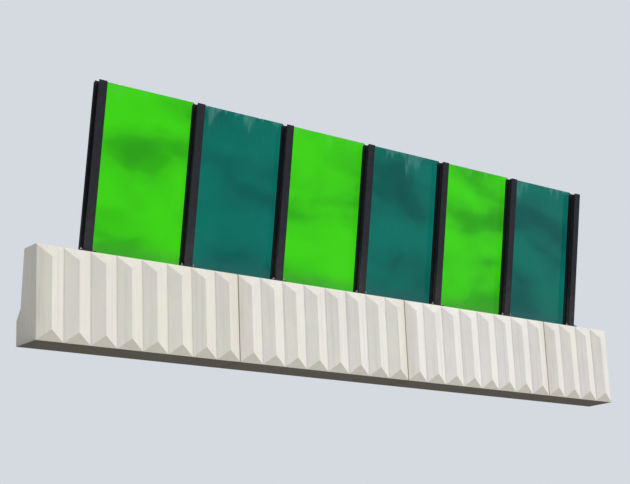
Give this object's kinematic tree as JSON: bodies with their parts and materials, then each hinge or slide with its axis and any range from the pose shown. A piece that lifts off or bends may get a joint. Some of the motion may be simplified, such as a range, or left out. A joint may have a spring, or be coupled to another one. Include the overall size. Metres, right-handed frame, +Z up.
{
  "type": "highway noise barrier",
  "caption": "Noise barrier for a bridge edge: outward leaning green and teal acrylic sheets between H posts, on a precast parapet with hipped V ribs.",
  "frame": {"origin": "middle of the parapet's flat underside, at the middle of the run", "axes": "+X along the wall, to the right seen from outside; -Y towards the ribbed outer side, where the sheets lean; +Y towards the traffic; +Z up"},
  "size_m": [14, 1.0462, 4.5124],
  "materials": {
    "concrete": "off-white precast concrete, fair faced",
    "mortar": "grey bedding mortar",
    "joint_sealant": "matt dark grey sealant",
    "post_paint": "satin charcoal paint on steel",
    "gasket_rubber": "matt black rubber",
    "green_acrylic": "clear bright green acrylic sheet",
    "teal_acrylic": "clear dark teal acrylic sheet"
  },
  "bodies": {
    "root": {"clamp_plate_1": "post_paint", "clamp_plate_2": "post_paint", "clamp_plate_3": "post_paint", "clamp_plate_4": "post_paint", "clamp_plate_5": "post_paint", "clamp_plate_6": "post_paint", "clamp_plate_7": "post_paint", "end_packers": "gasket_rubber", "green_sheet_1": "green_acrylic", "green_sheet_3": "green_acrylic", "green_sheet_5": "green_acrylic", "grout_pads": "mortar", "joint_seal_1": "joint_sealant", "joint_seal_2": "joint_sealant", "joint_seal_3": "joint_sealant", "parapet_unit_1": "concrete", "parapet_unit_2": "concrete", "parapet_unit_3": "concrete", "parapet_unit_4": "concrete", "post_1": "post_paint", "post_2": "post_paint", "post_3": "post_paint", "post_4": "post_paint", "post_5": "post_paint", "post_6": "post_paint", "post_7": "post_paint", "sheet_gasket_1": "gasket_rubber", "sheet_gasket_2": "gasket_rubber", "sheet_gasket_3": "gasket_rubber", "sheet_gasket_4": "gasket_rubber", "sheet_gasket_5": "gasket_rubber", "sheet_gasket_6": "gasket_rubber", "sill_beds": "mortar", "sill_rail_1": "post_paint", "sill_rail_2": "post_paint", "sill_rail_3": "post_paint", "sill_rail_4": "post_paint", "sill_rail_5": "post_paint", "sill_rail_6": "post_paint", "teal_sheet_2": "teal_acrylic", "teal_sheet_4": "teal_acrylic", "teal_sheet_6": "teal_acrylic"}
  },
  "joints": []
}
